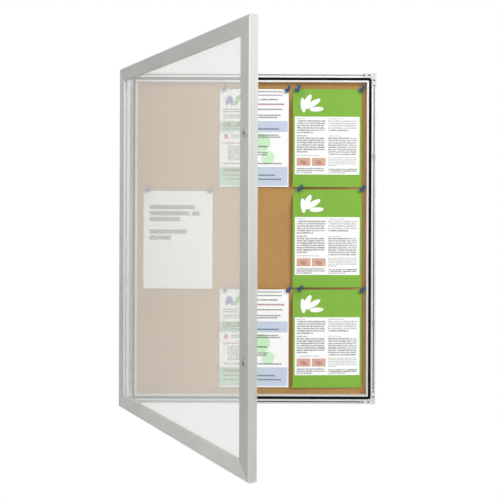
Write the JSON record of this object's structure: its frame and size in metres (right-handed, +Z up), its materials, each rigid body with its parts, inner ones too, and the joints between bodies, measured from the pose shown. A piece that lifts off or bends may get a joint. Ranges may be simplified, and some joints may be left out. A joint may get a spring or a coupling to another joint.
{
  "type": "lockable notice board",
  "caption": "Shallow wall case with a cork back behind a glazed door on a full-length hinge, held shut by cam locks; shown open, with pinned sheets.",
  "frame": {"origin": "middle of the rear face, which lies against the wall", "axes": "+X to the right seen from the front, +Y into the wall, +Z up"},
  "size_m": [0.7725, 0.6928, 1.011],
  "materials": {
    "frame_aluminium": "satin anodised, fine lines along each section",
    "key_metal": "as cast",
    "corner_plastic": "light grey, fine grain",
    "cork": "pressed cork granules",
    "back_sheet": "mill finish sheet",
    "seal_rubber": "matt black",
    "gasket_rubber": "matt light grey",
    "hinge_steel": "fine brushed",
    "lock_chrome": "satin plate",
    "paper": "printed office paper",
    "poster_paper": "coated printed paper",
    "pin_plastic": "moulded blue",
    "glass": "clear pane with a pale veil of reflected sky"
  },
  "bodies": {
    "board": {"case_top": "frame_aluminium", "case_bottom": "frame_aluminium", "case_left": "frame_aluminium", "case_right": "frame_aluminium", "case_corner_key_top_right": "key_metal", "case_corner_key_top_left": "key_metal", "case_corner_key_bottom_left": "key_metal", "case_corner_key_bottom_right": "key_metal", "corner_piece_top_right": "corner_plastic", "corner_piece_top_left": "corner_plastic", "corner_piece_bottom_left": "corner_plastic", "corner_piece_bottom_right": "corner_plastic", "cork_board": "cork", "back_panel": "back_sheet", "case_seal": "seal_rubber", "keeper_upper": "hinge_steel", "keeper_lower": "hinge_steel", "hinge_case_leaf": "hinge_steel", "hinge_pin": "hinge_steel", "notice_sheet": "paper", "leaflet_top_sheet": "paper", "leaflet_low_sheet": "paper", "poster_top_sheet": "poster_paper", "poster_mid_sheet": "poster_paper", "poster_low_sheet": "poster_paper", "push_pin_notice_left": "pin_plastic", "push_pin_notice_right": "pin_plastic", "push_pin_leaflet_top_left": "pin_plastic", "push_pin_leaflet_top_right": "pin_plastic", "push_pin_leaflet_low_left": "pin_plastic", "push_pin_leaflet_low_right": "pin_plastic", "push_pin_poster_top_left": "pin_plastic", "push_pin_poster_top_right": "pin_plastic", "push_pin_poster_mid_left": "pin_plastic", "push_pin_poster_mid_right": "pin_plastic", "push_pin_poster_low_left": "pin_plastic", "push_pin_poster_low_right": "pin_plastic"},
    "door": {"door_top": "frame_aluminium", "door_bottom": "frame_aluminium", "door_hinge_stile": "frame_aluminium", "door_lock_stile": "frame_aluminium", "door_corner_key_top_right": "key_metal", "door_corner_key_top_left": "key_metal", "door_corner_key_bottom_left": "key_metal", "door_corner_key_bottom_right": "key_metal", "glass_pane": "glass", "glazing_gasket": "gasket_rubber", "hinge_door_leaf": "hinge_steel", "lock_body_upper": "lock_chrome", "lock_body_lower": "lock_chrome", "lock_nut_upper": "hinge_steel", "lock_nut_lower": "hinge_steel"},
    "cam_upper": {"lock_plug_upper": "lock_chrome", "lock_cam_upper": "hinge_steel"},
    "cam_lower": {"lock_plug_lower": "lock_chrome", "lock_cam_lower": "hinge_steel"}
  },
  "joints": [
    {"name": "door_hinge", "type": "hinge", "parent": "board", "child": "door", "pos_m": [-0.379, -0.031, 0], "axis": [0, 0, -1], "range_deg": [-59.1, 115.9]},
    {"name": "lock_upper_turn", "type": "hinge", "parent": "door", "child": "cam_upper", "pos_m": [-0.0176, -0.6777, 0.25], "axis": [0.8581, 0.5135, 0], "range_deg": [0, 90]},
    {"name": "lock_lower_turn", "type": "hinge", "parent": "door", "child": "cam_lower", "pos_m": [-0.0176, -0.6777, -0.25], "axis": [0.8581, 0.5135, 0], "range_deg": [0, 90]}
  ]
}
